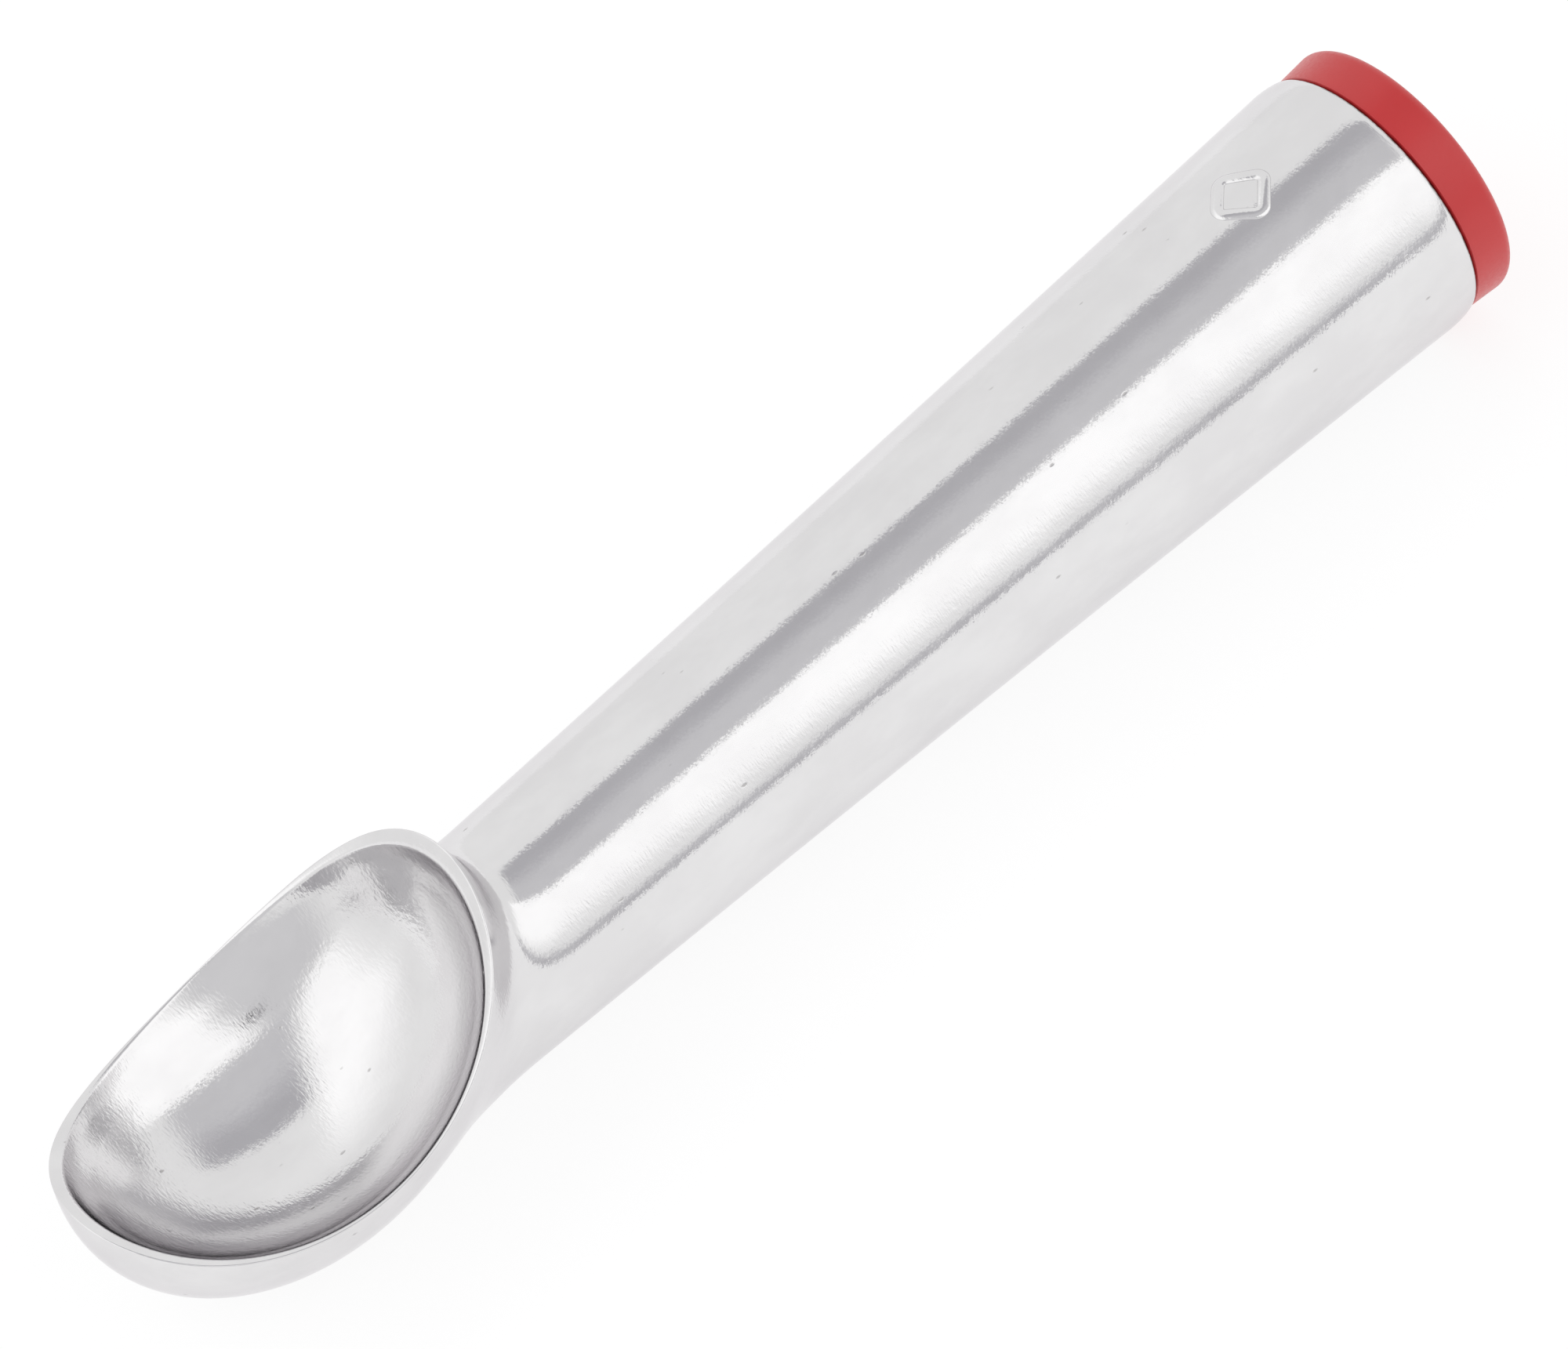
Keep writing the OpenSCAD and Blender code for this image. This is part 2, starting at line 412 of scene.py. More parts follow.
class Graph:
    """A short way to lay out a material's nodes."""

    def __init__(self, name: str) -> None:
        """Start an empty material with an output node.

        Args:
            name: Name of the material.
        """
        self.material = bpy.data.materials.new(name)
        self.material.use_nodes = True
        self.tree = self.material.node_tree
        self.tree.nodes.clear()
        self.output = self.tree.nodes.new("ShaderNodeOutputMaterial")
        self.surface = self.tree.nodes.new("ShaderNodeBsdfPrincipled")
        self.tree.links.new(self.surface.outputs["BSDF"], self.output.inputs["Surface"])
        self.place = self.tree.nodes.new("ShaderNodeTexCoord").outputs["Object"]

    def node(self, kind: str, settings: dict[str, Any] | None = None, **inputs: Any) -> bpy.types.Node:
        """Add a node, set its options, and set or link its inputs.

        Args:
            kind: Blender's name of the node type, without "ShaderNode".
            settings: Options of the node.
            **inputs: Input values or sockets; underscores stand for spaces, and in0, in1 stand for numbers.

        Returns:
            The node.
        """
        made = self.tree.nodes.new("ShaderNode" + kind)
        for key, value in (settings or {}).items():
            setattr(made, key, value)
        for key, value in inputs.items():
            numbered = key[:2] == "in" and key[2:].isdigit()
            self.feed(made.inputs[int(key[2:]) if numbered else key.replace("_", " ")], value)
        return made

    def feed(self, socket: bpy.types.NodeSocket, value: Any) -> None:
        """Link a socket into an input, or set the input's own value."""
        if isinstance(value, bpy.types.NodeSocket):
            self.tree.links.new(value, socket)
        else:
            socket.default_value = value

    def stretched(self, scale: Triple) -> bpy.types.NodeSocket:
        """Return Object coordinates, multiplied by a scale for each axis."""
        made = self.node("Mapping", {"vector_type": "POINT"}, Vector=self.place, Scale=scale)
        return made.outputs["Vector"]

    def noise(self, size: float, stretch: Triple, detail: float, rough: float) -> bpy.types.NodeSocket:
        """Return smooth noise.

        Args:
            size: Size of its patches in metres.
            stretch: How much finer the patches are along each axis.
            detail: Number of finer layers.
            rough: Strength of the finer layers.

        Returns:
            The noise value, about 0.5 in the middle.
        """
        return self.node("TexNoise", None, Vector=self.stretched(stretch), Scale=1.0 / size, Detail=detail,
                         Roughness=rough).outputs["Fac"]

    def reach(self, placement: Placement) -> bpy.types.NodeSocket:
        """Return how far along the handle a point lies, in metres from the bowl's middle."""
        axis = placement.pitch()
        start = placement.place(np.zeros(3))
        way = tuple(axis.tolist())
        along = self.node("VectorMath", {"operation": "DOT_PRODUCT"}, in0=self.place, in1=way)
        return self.math("SUBTRACT", along.outputs["Value"], float(start @ axis))

    def ramp(self, value: bpy.types.NodeSocket, low: float, high: float, start: float,
             end: float) -> bpy.types.NodeSocket:
        """Return the value carried smoothly from low..high to start..end."""
        return self.node("MapRange", {"interpolation_type": "SMOOTHSTEP"}, in0=value, in1=low, in2=high,
                         in3=start, in4=end).outputs["Result"]

    def math(self, operation: str, first: Any, second: Any) -> bpy.types.NodeSocket:
        """Return first and second put through an arithmetic operation."""
        return self.node("Math", {"operation": operation}, in0=first, in1=second).outputs[0]

    def mixed(self, share: bpy.types.NodeSocket, first: Colour | bpy.types.NodeSocket,
              second: Colour | bpy.types.NodeSocket) -> bpy.types.NodeSocket:
        """Return a colour between first and second."""
        made = self.node("Mix", {"data_type": "RGBA"}, in0=share)
        self.feed(made.inputs[6], first)
        self.feed(made.inputs[7], second)
        return made.outputs[2]

    def bump(self, height: bpy.types.NodeSocket, distance: float,
             normal: bpy.types.NodeSocket | None = None) -> bpy.types.NodeSocket:
        """Return the surface normal, tilted by a height pattern.

        Args:
            height: The pattern.
            distance: Height of the pattern in metres.
            normal: A normal that is already tilted.

        Returns:
            The tilted normal.
        """
        made = self.node("Bump", None, Height=height, Distance=distance, Strength=1.0)
        if normal is not None:
            self.feed(made.inputs["Normal"], normal)
        return made.outputs["Normal"]


@dataclass(frozen=True)
class PolishedCast:
    """Buffed cast aluminium: a mirror feathered by buffing marks, with scattered pits and grime at the seam.

    Sizes and heights are in metres. Seam_reach is where the grime starts along the handle, and seam_fade the
    length over which it comes in.
    """

    name: str = "polished_cast"
    tone: float = 0.77
    roughness: float = 0.105
    hair_height: float = 0.000022
    line_height: float = 0.000007
    swell_height: float = 0.000024
    pit_size: float = 0.0024
    pit_depth: float = 0.00003
    pit_color: Colour = (0.42, 0.41, 0.40, 1)
    dull_tint: Triple = (0.970, 0.960, 0.966)
    clear_tint: Triple = (1.030, 1.022, 1.026)
    glancing_tint: Colour = (0.88, 0.87, 0.88, 1)
    grime_color: Colour = (0.15, 0.115, 0.10, 1)
    seam_reach: float = 0.15225
    seam_fade: float = 0.00025

    def shade(self, tint: Triple) -> Colour:
        """Return the metal's tone under a tint."""
        return (self.tone * tint[0], self.tone * tint[1], self.tone * tint[2], 1)

    def material(self, placement: Placement) -> bpy.types.Material:
        """Return the procedural material.

        Args:
            placement: Where the working frame lies, which tells the seam's place along the handle.

        Returns:
            The material.
        """
        graph = Graph(self.name)
        hairs = graph.noise(0.00075, (3.0, 1.0, 1.0), 2.0, 0.55)
        lines = graph.noise(0.0006, (0.25, 1.0, 1.0), 2.0, 0.6)
        swell = graph.noise(0.005, (0.5, 1.0, 1.0), 1.0, 0.4)
        patches = graph.ramp(graph.noise(0.007, (0.6, 1.0, 1.0), 4.0, 0.6), 0.32, 0.68, 0.0, 1.0)
        grain = graph.noise(0.0011, (0.35, 1.0, 1.0), 3.0, 0.6)
        pits = graph.node("TexVoronoi", {"feature": "F1"}, Vector=graph.stretched((0.45, 1.0, 1.0)),
                          Scale=1.0 / self.pit_size, Randomness=1.0)
        rarely = graph.ramp(graph.noise(0.004, EVEN, 2.0, 0.5), 0.50, 0.58, 0.0, 0.7)
        pit = graph.math("MULTIPLY", graph.ramp(pits.outputs["Distance"], 0.03, 0.09, 1.0, 0.0), rarely)
        plain = graph.mixed(patches, self.shade(self.dull_tint), self.shade(self.clear_tint))
        pitted = graph.mixed(pit, plain, self.pit_color)
        nicks = graph.ramp(graph.noise(0.0012, EVEN, 2.0, 0.5), 0.34, 0.62, 0.45, 1.0)
        at_seam = graph.ramp(graph.reach(placement), self.seam_reach, self.seam_reach + self.seam_fade,
                             0.0, 1.0)
        grime = graph.math("MULTIPLY", nicks, at_seam)
        color = graph.mixed(grime, pitted, self.grime_color)
        graph.feed(graph.surface.inputs["Base Color"], color)
        blur = graph.math("ADD", graph.ramp(grain, 0.3, 0.7, self.roughness * 0.8, self.roughness * 1.25),
                          graph.math("MULTIPLY", pit, 0.3))
        graph.feed(graph.surface.inputs["Roughness"], blur)
        graph.surface.inputs["Metallic"].default_value = 1.0
        graph.surface.inputs["Specular Tint"].default_value = self.glancing_tint
        normal = graph.bump(swell, self.swell_height)
        normal = graph.bump(hairs, self.hair_height, normal)
        normal = graph.bump(lines, self.line_height, normal)
        normal = graph.bump(graph.math("MULTIPLY", pit, -1.0), self.pit_depth, normal)
        graph.feed(graph.surface.inputs["Normal"], normal)
        return graph.material


@dataclass(frozen=True)
class MachinedMetal:
    """Turned aluminium of the sealing plug: fine rings of a cutting tool on a dull mirror."""

    name: str = "machined_metal"
    tone: float = 0.62

    def material(self) -> bpy.types.Material:
        """Return the procedural material."""
        graph = Graph(self.name)
        fine = graph.noise(0.0003, (0.3, 1.0, 1.0), 2.0, 0.5)
        cloud = graph.noise(0.004, EVEN, 3.0, 0.5)
        color = graph.mixed(cloud, (self.tone * 0.92,) * 3 + (1,), (self.tone * 1.06,) * 3 + (1,))
        graph.feed(graph.surface.inputs["Base Color"], color)
        graph.feed(graph.surface.inputs["Roughness"], graph.ramp(fine, 0.3, 0.7, 0.28, 0.42))
        graph.surface.inputs["Metallic"].default_value = 1.0
        graph.feed(graph.surface.inputs["Normal"], graph.bump(fine, 0.00001))
        return graph.material


@dataclass(frozen=True)
class RingRubber:
    """Black nitrile of the seal ring: dull, with a faint moulded grain."""

    name: str = "ring_rubber"

    def material(self) -> bpy.types.Material:
        """Return the procedural material."""
        graph = Graph(self.name)
        grain = graph.noise(0.0004, EVEN, 3.0, 0.6)
        graph.feed(graph.surface.inputs["Base Color"],
                   graph.mixed(grain, (0.010, 0.010, 0.011, 1), (0.024, 0.024, 0.026, 1)))
        graph.feed(graph.surface.inputs["Roughness"], graph.ramp(grain, 0.3, 0.7, 0.48, 0.62))
        graph.feed(graph.surface.inputs["Normal"], graph.bump(grain, 0.00002))
        return graph.material


@dataclass(frozen=True)
class ClearLiquid:
    """The heat-carrying liquid: a pale blue gel, seen only if the casting is taken apart."""

    name: str = "clear_liquid"

    def material(self) -> bpy.types.Material:
        """Return the procedural material."""
        graph = Graph(self.name)
        cloud = graph.noise(0.010, EVEN, 3.0, 0.5)
        graph.feed(graph.surface.inputs["Base Color"],
                   graph.mixed(cloud, (0.30, 0.55, 0.68, 1), (0.42, 0.66, 0.76, 1)))
        graph.feed(graph.surface.inputs["Roughness"], graph.ramp(cloud, 0.3, 0.7, 0.05, 0.10))
        graph.surface.inputs["IOR"].default_value = 1.38
        graph.feed(graph.surface.inputs["Normal"], graph.bump(cloud, 0.00005))
        return graph.material


@dataclass(frozen=True)
class SatinCap:
    """Moulded red plastic: satin, a little mottled, with sparse pale specks."""

    name: str = "satin_cap"
    color: Triple = (0.56, 0.026, 0.028)
    speck_color: Colour = (0.70, 0.20, 0.19, 1)
    speck_size: float = 0.0022
    roughness: float = 0.34

    def material(self) -> bpy.types.Material:
        """Return the procedural material."""
        graph = Graph(self.name)
        cloud = graph.noise(0.006, EVEN, 4.0, 0.6)
        grain = graph.noise(0.00035, EVEN, 2.0, 0.6)
        specks = graph.node("TexVoronoi", {"feature": "F1"}, Vector=graph.place, Scale=1.0 / self.speck_size)
        rarely = graph.ramp(graph.noise(0.003, EVEN, 2.0, 0.5), 0.60, 0.66, 0.0, 0.5)
        speck = graph.math("MULTIPLY", graph.ramp(specks.outputs["Distance"], 0.04, 0.11, 1.0, 0.0), rarely)
        dark = tuple(0.93 * part for part in self.color) + (1,)
        light = tuple(1.07 * part for part in self.color) + (1,)
        color = graph.mixed(speck, graph.mixed(cloud, dark, light), self.speck_color)
        graph.feed(graph.surface.inputs["Base Color"], color)
        graph.feed(graph.surface.inputs["Roughness"],
                   graph.ramp(grain, 0.3, 0.7, self.roughness - 0.05, self.roughness + 0.06))
        graph.surface.inputs["Specular IOR Level"].default_value = 0.60
        normal = graph.bump(grain, 0.000006)
        normal = graph.bump(cloud, 0.00003, normal)
        graph.feed(graph.surface.inputs["Normal"], normal)
        return graph.material


# ---------------------------------------------------------------- sub-assemblies

def dress(piece: bpy.types.Object, material: bpy.types.Material) -> None:
    """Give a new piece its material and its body.

    Args:
        piece: The new piece.
        material: Its finish.
    """
    piece.data.materials.append(material)
    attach(piece, "root")
    LOG.info("%s: %d points, %d faces", piece.name, len(piece.data.vertices), len(piece.data.polygons))


@dataclass
class Casting:
    """The one-piece casting as a single closed surface, from the chamber's blind end to the bowl's floor.

    Net_x, net_y and net_z are the terms of the loop that pulls the bowl's back into shape. Mean_reach is the
    hollow's mean radius, which turns its angles into lengths. No rounding takes more than land_share of the
    rim's land.
    """

    bowl: BowlForm = field(default_factory=BowlForm)
    grip: GripForm = field(default_factory=GripForm)
    finish: PolishedCast = field(default_factory=PolishedCast)
    around: int = 192
    grip_rows: int = 112
    back_rows: int = 136
    inside_rows: int = 128
    inside_crowding: float = 1.2
    chamber_rows: int = 14
    shoulder_rows: int = 12
    lip_rows: int = 5
    fillet: float = 8.5
    join_x: float = 40.0
    net_x: Triple = (3.5, -21.0, 3.5)
    net_y: float = 17.0
    net_z: Triple = (-3.25, -13.5, 2.75)
    ray_start: float = 12.0
    mean_reach: float = 22.0
    land_share: float = 0.45
    outer_round: float = 0.30
    inner_round: float = 0.38
    step_height: float = 0.16
    step_start: float = 1.4
    step_end: float = 4.4
    mouth_bevel: float = 0.25

    def angles(self) -> Array:
        """Return the angles of a loop, 0 underneath and pi on top."""
        return np.arange(self.around) * (2 * math.pi / self.around)

    def bore(self) -> Array:
        """Return the rows of the chamber, the ledge, the socket and the butt face, turned about the axis."""
        grip = self.grip
        socket_x = grip.butt - grip.socket_depth
        socket_r = grip.grip_d / 2 - grip.socket_wall
        chamber_x = np.linspace(grip.blind, socket_x, self.chamber_rows)
        chamber_r = grip.radius(chamber_x) - grip.socket_wall - grip.ledge
        blind = [(grip.blind, chamber_r[0] * share) for share in (0.25, 0.5, 0.75)]
        butt_r = grip.grip_d / 2 - grip.shoulder_drop
        profile = blind + list(zip(chamber_x, chamber_r)) + [
            (socket_x, socket_r), (grip.butt - 6.0, socket_r), (grip.butt - self.mouth_bevel, socket_r),
            (grip.butt, socket_r + self.mouth_bevel), (grip.butt, socket_r + 1.4), (grip.butt, butt_r - 0.12)]
        return turned_rows(np.array(profile), self.around)

    def outside(self) -> Array:
        """Return the rows of the shoulder, a quarter oval, and the taper, from the butt to the bowl's join."""
        grip = self.grip
        turn = np.linspace(math.pi / 2, 0.0, self.shoulder_rows)
        shoulder_x = grip.shoulder_x() + grip.shoulder * np.sin(turn)
        shoulder_r = grip.grip_d / 2 - grip.shoulder_drop * (1 - np.cos(turn))
        taper_x = np.linspace(grip.shoulder_x(), self.join_x, self.grip_rows + 1)[1:]
        profile = np.stack([np.concatenate([shoulder_x, taper_x]),
                            np.concatenate([shoulder_r, grip.radius(taper_x)])], axis=-1)
        return turned_rows(profile, self.around)

    def joined_gap(self, points: Array) -> Array:
        """Return the distance to bowl and handle, joined with a fillet."""
        return soft_min(self.bowl.gap(points), self.grip.gap(points), self.fillet)

    def back(self) -> Array:
        """Return the rows from the join to where the rim's rounding starts, over the bowl's back.

        A rough net (1-s)^2 J + 2s(1-s) C + s^2 R runs from the join J, drawn by a loop C, to the rim R, and
        stops short of it by the outer rounding. C has x and z of the form a + b cos t + c cos 2t, and y of the
        form d sin t. Each point of the net is then moved along the ray from a point inside both forms, to
        where the ray leaves the joined form.
        """
        angle = self.angles()
        radius = self.grip.radius(np.array(self.join_x))
        join = np.stack([np.full_like(angle, self.join_x), radius * np.sin(angle),
                         -radius * np.cos(angle)], axis=-1)
        net_x, net_z = ([a + b * np.cos(angle) + c * np.cos(2 * angle)
                         for a, b, c in (self.net_x, self.net_z)])
        middle = np.stack([net_x, self.net_y * np.sin(angle), net_z], axis=-1)
        rim = self.bowl.rim_loop(angle, inner=False)
        rim = rim + self.outer_round * unit(middle - rim)
        share = np.linspace(0.0, 1.0, self.back_rows + 1)[1:, None, None]
        rough = (1 - share) ** 2 * join + 2 * share * (1 - share) * middle + share ** 2 * rim
        start = np.array([self.ray_start, 0.0, 0.0])
        return leave_form(start, unit(rough - start), self.joined_gap)

    def inside(self) -> Array:
        """Return the rows from where the rounding of the rim's inner edge ends, to the bowl's floor.

        In the egg's own ball coordinates each row lies on great circles from the rim to the pole. Below the
        rim a soft step thickens the wall, drawn in towards the egg's middle.
        """
        rim = unit(self.bowl.to_ball(self.bowl.rim_loop(self.angles(), inner=True), True))
        pole = np.array([0.0, 0.0, -1.0])
        width = np.arccos(np.clip(rim @ pole, -1.0, 1.0))[None, :, None]
        start = self.inner_round / (self.mean_reach * width)
        crowded = np.linspace(0.0, 1.0, self.inside_rows + 1)[:-1] ** self.inside_crowding
        share = start + (1 - start) * crowded[:, None, None]
        ball = (np.sin((1 - share) * width) * rim + np.sin(share * width) * pole) / np.sin(width)
        points = self.bowl.from_ball(ball, True)
        centre = self.bowl.middle(True)
        reach = np.linalg.norm(points - centre, axis=-1, keepdims=True)
        depth = share * width * self.mean_reach
        drawn = self.step_height * ease((depth - self.step_start) / (self.step_end - self.step_start))
        return centre + (points - centre) * (1 - drawn / reach)

    def lip(self, back: Array, inside: Array) -> Array:
        """Return the rows of the rim's land with both its edges rounded.

        Args:
            back: Rows of the bowl's back, whose last row starts the outer rounding.
            inside: Rows of the bowl's inside, whose first row ends the inner rounding.

        Returns:
            The rows between them.
        """
        outer = self.bowl.rim_loop(self.angles(), inner=False)
        inner = self.bowl.rim_loop(self.angles(), inner=True)
        across = inner - outer
        most = self.land_share * np.linalg.norm(across, axis=-1, keepdims=True)
        first_end = outer + np.minimum(self.outer_round, most) * unit(across)
        second_start = inner - np.minimum(self.inner_round, most) * unit(across)
        return np.concatenate([rounded_corner(back[-1], outer, first_end, self.lip_rows),
                               rounded_corner(second_start, inner, inside[0], self.lip_rows)])

    def build(self, placement: Placement) -> bpy.types.Object:
        """Make the casting and put it in place of its CAD node."""
        back = self.back()
        inside = self.inside()
        rows = np.concatenate([self.bore(), self.outside(), back[:-1], self.lip(back, inside), inside[1:]])
        piece = Shell(rows).mesh("casting", placement)
        dress(piece, self.finish.material(placement))
        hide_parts("scoop_body")
        return piece


@dataclass
class SizeMark:
    """Plain raised lozenge on top of the grip near the butt, in the place of a size stamp.

    The bead's half width is spread times the line, and crown is the power that rounds its top.
    """

    grip: GripForm = field(default_factory=GripForm)
    inset: float = 15.8
    across: float = 8.6
    line: float = 1.15
    rise: float = 0.26
    sink: float = 0.25
    corner: float = 0.95
    spread: float = 0.62
    crown: float = 1.4
    around: int = 176
    section: int = 18

    def path(self) -> Array:
        """Return the lozenge's middle line as polar reaches of a diamond with round corners.

        With p the angle from the nearest corner, h the diamond's half, r the corners' radius and
        c = h - r sqrt 2, the reach is c cos p + sqrt(r^2 - c^2 sin^2 p) on the corner's arc, and
        h / (cos p + sin p) past it.
        """
        angle = np.arange(self.around) * (2 * math.pi / self.around)
        half = (self.across - self.line * math.sqrt(2)) / 2
        centre = half - self.corner * math.sqrt(2)
        arc_end = math.atan2(self.corner / math.sqrt(2), centre + self.corner / math.sqrt(2))
        near = np.abs((angle + math.pi / 4) % (math.pi / 2) - math.pi / 4)
        rise_squared = np.maximum(self.corner ** 2 - (centre * np.sin(near)) ** 2, 0.0)
        arc = centre * np.cos(near) + np.sqrt(rise_squared)
        reach = np.where(near < arc_end, arc, half / (np.cos(near) + np.sin(near)))
        return np.stack([np.cos(angle), np.sin(angle)], axis=-1) * reach[:, None]

    def build(self, placement: Placement, material: bpy.types.Material) -> bpy.types.Object:
        """Carry a rounded bead along the lozenge, on the grip's surface, its base sunk in the metal.

        Args:
            placement: Where the working frame lies.
            material: The casting's finish.

        Returns:
            The piece.
        """
        path = self.path()
        along = unit(np.roll(path, -1, axis=0) - np.roll(path, 1, axis=0))
        sideways = np.stack([along[:, 1], -along[:, 0]], axis=-1)
        turn = np.arange(self.section) * (2 * math.pi / self.section)
        offset = self.spread * self.line * np.cos(turn)
        top = self.rise * np.abs(np.sin(turn)) ** self.crown
        lift = np.where(np.sin(turn) > 0, top, self.sink * np.sin(turn))
        plan = path[:, None, :] + sideways[:, None, :] * offset[None, :, None]
        x = self.grip.butt - self.inset + plan[..., 0]
        radius = self.grip.radius(x) + lift[None, :]
        height = np.sqrt(radius ** 2 - plan[..., 1] ** 2)
        rows = np.stack([x, plan[..., 1], height], axis=-1)
        piece = Shell(rows, ring=True, crease=80.0).mesh("size_mark", placement)
        dress(piece, material)
        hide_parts("scoop_body")
        return piece


@dataclass
class EndCap:
    """Turned plastic cap: a flange that shows, and a hollow spigot that fills the socket."""

    diameter: float = 31.6
    draft: float = 0.3
    thickness: float = 5.3
    edge_round: float = 1.2
    seam_edge: float = 0.16
    flange_x: float = 152.8
    spigot_x: float = 144.6
    spigot_r: float = 12.74
    spigot_wall: float = 2.0
    bevel: float = 0.4
    small_bevel: float = 0.3
    corner_rows: int = 12
    flank_rows: int = 8
    around: int = 160
    finish: SatinCap = field(default_factory=SatinCap)

    def profile(self) -> Array:
        """Return the half profile from the middle of the end face round to the middle of the bore."""
        end_x = self.flange_x + self.thickness
        radius = self.diameter / 2
        turn = np.linspace(0.0, math.pi / 2, self.corner_rows)
        corner = np.stack([end_x - self.edge_round * (1 - np.cos(turn)),
                           radius - self.edge_round * (1 - np.sin(turn))], axis=-1)
        face_shares = (0.2, 0.4, 0.6, 0.8, 0.93, 0.985)
        face = [(end_x, share * (radius - self.edge_round)) for share in face_shares]
        flank_x = np.linspace(end_x - self.edge_round, self.flange_x + self.seam_edge, self.flank_rows)[1:]
        fall = (end_x - self.edge_round - flank_x) / (self.thickness - self.edge_round)
        flank = np.stack([flank_x, radius - self.draft * fall], axis=-1)
        base = radius - self.draft
        flange_x, spigot_x, spigot_r = self.flange_x, self.spigot_x, self.spigot_r
        seam = [(flange_x + 0.08, base - 0.10), (flange_x, base - 0.26), (flange_x, base - 1.2)]
        bore_r = spigot_r - self.spigot_wall
        inner = [(flange_x, spigot_r), (flange_x - self.small_bevel, spigot_r),
                 (spigot_x + self.bevel, spigot_r), (spigot_x, spigot_r - self.bevel),
                 (spigot_x, bore_r + self.small_bevel), (spigot_x + self.small_bevel, bore_r),
                 (flange_x - self.bevel, bore_r), (flange_x, bore_r - self.bevel),
                 (flange_x, bore_r * 0.66), (flange_x, bore_r * 0.33)]
        return np.concatenate([np.array(face), corner, flank, np.array(seam), np.array(inner)])

    def build(self, placement: Placement) -> bpy.types.Object:
        """Make the cap and put it in place of its CAD node."""
        piece = Shell(turned_rows(self.profile(), self.around), crease=38.0).mesh("cap", placement)
        dress(piece, self.finish.material())
        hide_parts("end_cap")
        return piece


@dataclass
class Chamber:
    """The three hidden pieces in the handle, whose CAD shapes stay: liquid, plug and ring."""

    def build(self) -> None:
        """Give each CAD node its finish in place of its plain one."""
        finishes = {"heat_fluid": ClearLiquid(), "sealing_plug": MachinedMetal(), "seal_ring": RingRubber()}
        for node, finish in finishes.items():
            piece = frame["nodes"][node]
            material = finish.material()
            if not piece.material_slots:
                piece.data.materials.append(material)
            for held in piece.material_slots:
                held.material = material
            LOG.info("%s: keeps its CAD shape, finish %s", node, finish.name)


# ---------------------------------------------------------------- studio

@dataclass(frozen=True)
class Panel:
    """A soft patch of the studio's light tent, between four faded edges.

    Turn, from start to end, is the angle about the table's X in degrees, from straight up towards -Y. Along,
    from low to high, is the X part of a direction. An edge may lean: its place changes with the other measure.
    """

    level: float
    start: float
    end: float
    low: float
    high: float
    start_soft: float
    end_soft: float
    low_soft: float
    high_soft: float
    end_lean: float = 0.0
    low_lean: float = 0.0
    high_lean: float = 0.0


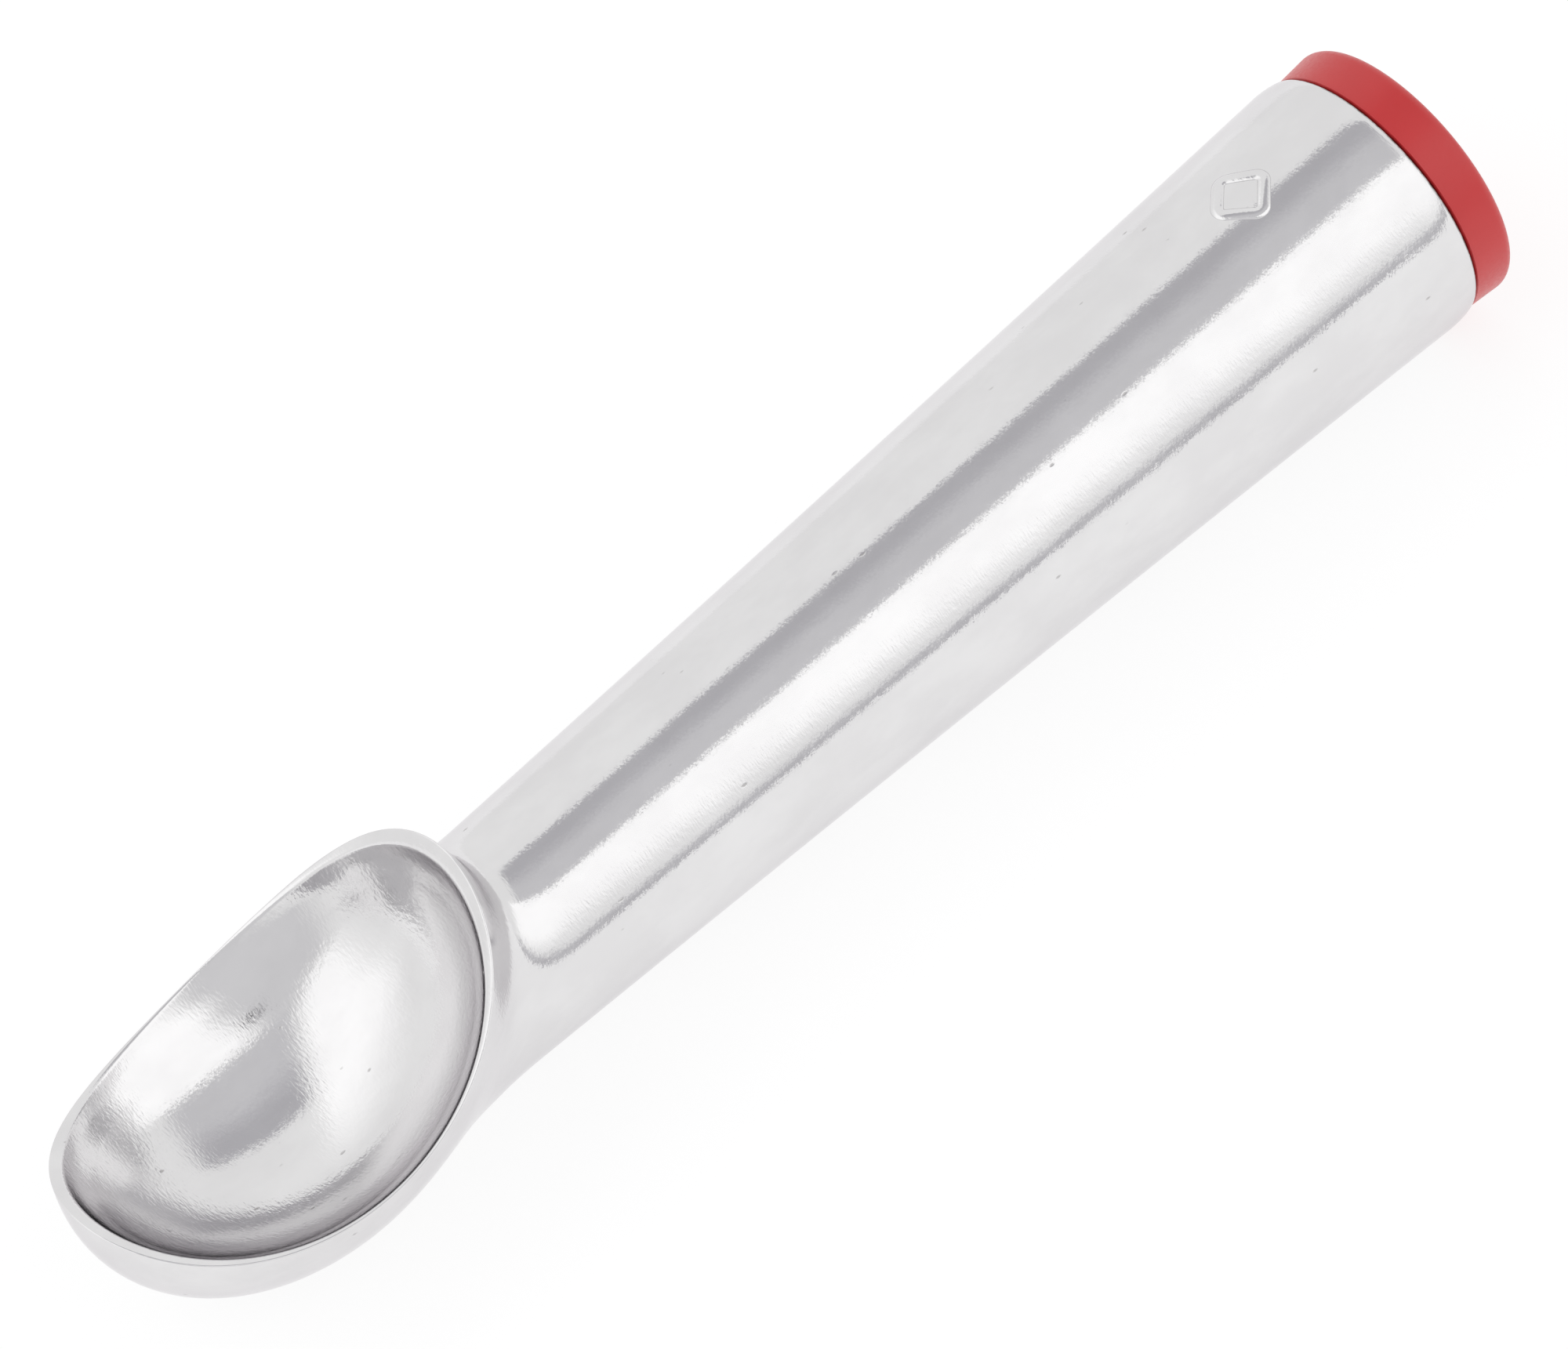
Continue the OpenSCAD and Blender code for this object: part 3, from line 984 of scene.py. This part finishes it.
@dataclass
class Studio:
    """Pale floor, light tent and camera.

    The aim and the distance are in millimetres, and the camera's angles in degrees. Shade_tint colours the
    light where its level is down to shade_level, and fades out towards base_level.
    """

    heading: float = 27.567
    elevation: float = 50.664
    roll: float = 18.53
    distance: float = 988.2
    aim: Triple = (67.65, -1.17, 5.01)
    lens: float = 221.4
    sensor: float = 36.0
    clip_start: float = 0.02
    clip_end: float = 30.0
    floor_size: float = 3.0
    floor_sides: int = 96
    floor_glow: float = 0.80
    floor_tone: float = 0.24
    floor_roughness: float = 0.9
    base_level: float = 0.94
    shade_level: float = 0.5
    shade_tint: Colour = (0.985, 0.975, 1.02, 1)
    panels: tuple[Panel, ...] = (
        Panel(0.74, start=24.0, end=80.0, low=-0.90, high=0.05,
              start_soft=6.0, end_soft=8.0, low_soft=0.08, high_soft=0.10),
        Panel(1.23, start=-48.0, end=3.0, low=-0.92, high=-0.38, end_lean=-40.0, high_lean=-0.0085,
              start_soft=22.0, end_soft=7.0, low_soft=0.08, high_soft=0.09),
        Panel(1.24, start=26.5, end=75.0, low=-0.60, high=0.85, low_lean=0.012,
              start_soft=2.5, end_soft=13.0, low_soft=0.16, high_soft=0.08),
        Panel(0.53, start=-19.0, end=14.0, low=-0.29, high=0.66, low_lean=-0.0085,
              start_soft=2.0, end_soft=20.0, low_soft=0.045, high_soft=0.06),
        Panel(0.68, start=3.0, end=26.5, low=-0.29, high=0.66, low_lean=-0.0085,
              start_soft=14.0, end_soft=2.5, low_soft=0.045, high_soft=0.06),
        Panel(0.56, start=83.0, end=120.0, low=-0.06, high=0.85,
              start_soft=5.0, end_soft=10.0, low_soft=0.14, high_soft=0.08),
        Panel(0.06, start=33.5, end=38.5, low=-0.33, high=-0.25,
              start_soft=1.5, end_soft=1.5, low_soft=0.02, high_soft=0.02),
    )

    def camera(self, placement: Placement) -> None:
        """Aim the camera, turned about Z by the heading, raised by the elevation and then rolled.

        Args:
            placement: Where the working frame lies.
        """
        heading, elevation, roll = map(math.radians, (self.heading, self.elevation, self.roll))
        back = np.array([-math.sin(heading) * math.cos(elevation), -math.cos(heading) * math.cos(elevation),
                         math.sin(elevation)])
        level = np.array([math.cos(heading), -math.sin(heading), 0.0])
        upright = np.cross(back, level)
        right = level * math.cos(roll) - upright * math.sin(roll)
        up = level * math.sin(roll) + upright * math.cos(roll)
        spot = placement.place(np.array(self.aim)) + placement.turn(back) * self.distance / MM_PER_M
        matrix = np.eye(4)
        matrix[:3, :3] = placement.turn(np.stack([right, up, back])).T
        matrix[:3, 3] = spot
        data = bpy.data.cameras.new("camera")
        data.lens = self.lens
        data.sensor_width = self.sensor
        data.clip_start = self.clip_start
        data.clip_end = self.clip_end
        eye = bpy.data.objects.new("camera", data)
        bpy.context.scene.collection.objects.link(eye)
        eye.matrix_world = Matrix(matrix.tolist())
        bpy.context.scene.camera = eye

    def floor(self) -> None:
        """Lay the pale floor at the CAD model's lowest height: a disc that glows, as in a light tent."""
        height = cad_bounds[0][2]
        angle = np.arange(self.floor_sides) * (2 * math.pi / self.floor_sides)
        ring = np.stack([self.floor_size * np.cos(angle), self.floor_size * np.sin(angle),
                         np.full_like(angle, height)], axis=-1)
        data = bpy.data.meshes.new("floor")
        data.from_pydata(ring.tolist(), [], [list(range(self.floor_sides))])
        plane = bpy.data.objects.new("floor", data)
        bpy.context.scene.collection.objects.link(plane)
        graph = Graph("pale_floor")
        graph.surface.inputs["Base Color"].default_value = (self.floor_tone,) * 3 + (1,)
        graph.surface.inputs["Roughness"].default_value = self.floor_roughness
        graph.surface.inputs["Specular IOR Level"].default_value = 0.0
        graph.surface.inputs["Emission Color"].default_value = (1, 1, 1, 1)
        graph.surface.inputs["Emission Strength"].default_value = self.floor_glow
        data.materials.append(graph.material)

    def tent(self) -> None:
        """Light the scene with a world that is even except for its panels, which fade in and out."""
        world = bpy.data.worlds.new("tent")
        bpy.context.scene.world = world
        world.use_nodes = True
        tree = world.node_tree
        tree.nodes.clear()

        smooth = {"interpolation_type": "SMOOTHSTEP"}

        def put(kind: str, settings: dict[str, Any], *values: Any) -> bpy.types.NodeSocket:
            """Add a world node with its options and numbered inputs, and return its first output."""
            made = tree.nodes.new("ShaderNode" + kind)
            for key, value in settings.items():
                setattr(made, key, value)
            for number, value in enumerate(values):
                if isinstance(value, bpy.types.NodeSocket):
                    tree.links.new(value, made.inputs[number])
                else:
                    made.inputs[number].default_value = value
            return made.outputs[0]

        def math_of(operation: str, *values: Any) -> bpy.types.NodeSocket:
            """Put values through an arithmetic operation."""
            return put("Math", {"operation": operation}, *values)

        def edge(measure: Any, other: Any, place: float, soft: float, lean: float, falls: bool) -> Any:
            """Fade from 0 to 1, or from 1 to 0, where measure - lean * other passes the place."""
            leaning = math_of("MULTIPLY_ADD", other, -lean, measure)
            ends = (1.0, 0.0) if falls else (0.0, 1.0)
            return put("MapRange", smooth, leaning, place - soft, place + soft, *ends)

        way = tree.nodes.new("ShaderNodeTexCoord").outputs["Generated"]
        parts = tree.nodes.new("ShaderNodeSeparateXYZ")
        tree.links.new(way, parts.inputs[0])
        along = parts.outputs[0]
        aside = math_of("MULTIPLY", parts.outputs[1], -1.0)
        turn = math_of("MULTIPLY", math_of("ARCTAN2", aside, parts.outputs[2]), 180.0 / math.pi)
        level: Any = self.base_level
        for panel in self.panels:
            share = math_of("MULTIPLY", edge(turn, along, panel.start, panel.start_soft, 0.0, False),
                            edge(turn, along, panel.end, panel.end_soft, panel.end_lean, True))
            low = edge(along, turn, panel.low, panel.low_soft, panel.low_lean, False)
            high = edge(along, turn, panel.high, panel.high_soft, panel.high_lean, True)
            share = math_of("MULTIPLY", math_of("MULTIPLY", share, low), high)
            level = math_of("MULTIPLY_ADD", share, math_of("SUBTRACT", panel.level, level), level)
        background = tree.nodes.new("ShaderNodeBackground")
        cool = put("MapRange", smooth, level, self.shade_level, self.base_level, 1.0, 0.0)
        shade = tree.nodes.new("ShaderNodeMix")
        shade.data_type = "RGBA"
        tree.links.new(cool, shade.inputs[0])
        shade.inputs[6].default_value = (1, 1, 1, 1)
        shade.inputs[7].default_value = self.shade_tint
        tree.links.new(shade.outputs[2], background.inputs["Color"])
        tree.links.new(level, background.inputs["Strength"])
        output = tree.nodes.new("ShaderNodeOutputWorld")
        tree.links.new(background.outputs[0], output.inputs["Surface"])

    def build(self, placement: Placement) -> None:
        """Set up camera, floor and light, and show colours as they are."""
        self.camera(placement)
        self.floor()
        self.tent()
        bpy.context.scene.view_settings.view_transform = "Standard"
        LOG.info("studio: camera %.0f mm from the aim point, lens %.0f mm", self.distance, self.lens)


def main() -> None:
    """Build each sub-assembly in order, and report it."""
    logging.basicConfig(level=logging.INFO, format="%(name)s: %(message)s")
    placement = Placement()
    casting = Casting()
    body = casting.build(placement)
    SizeMark(casting.grip).build(placement, body.data.materials[0])
    EndCap().build(placement)
    Chamber().build()
    Studio().build(placement)


if __name__ == "__main__":
    main()
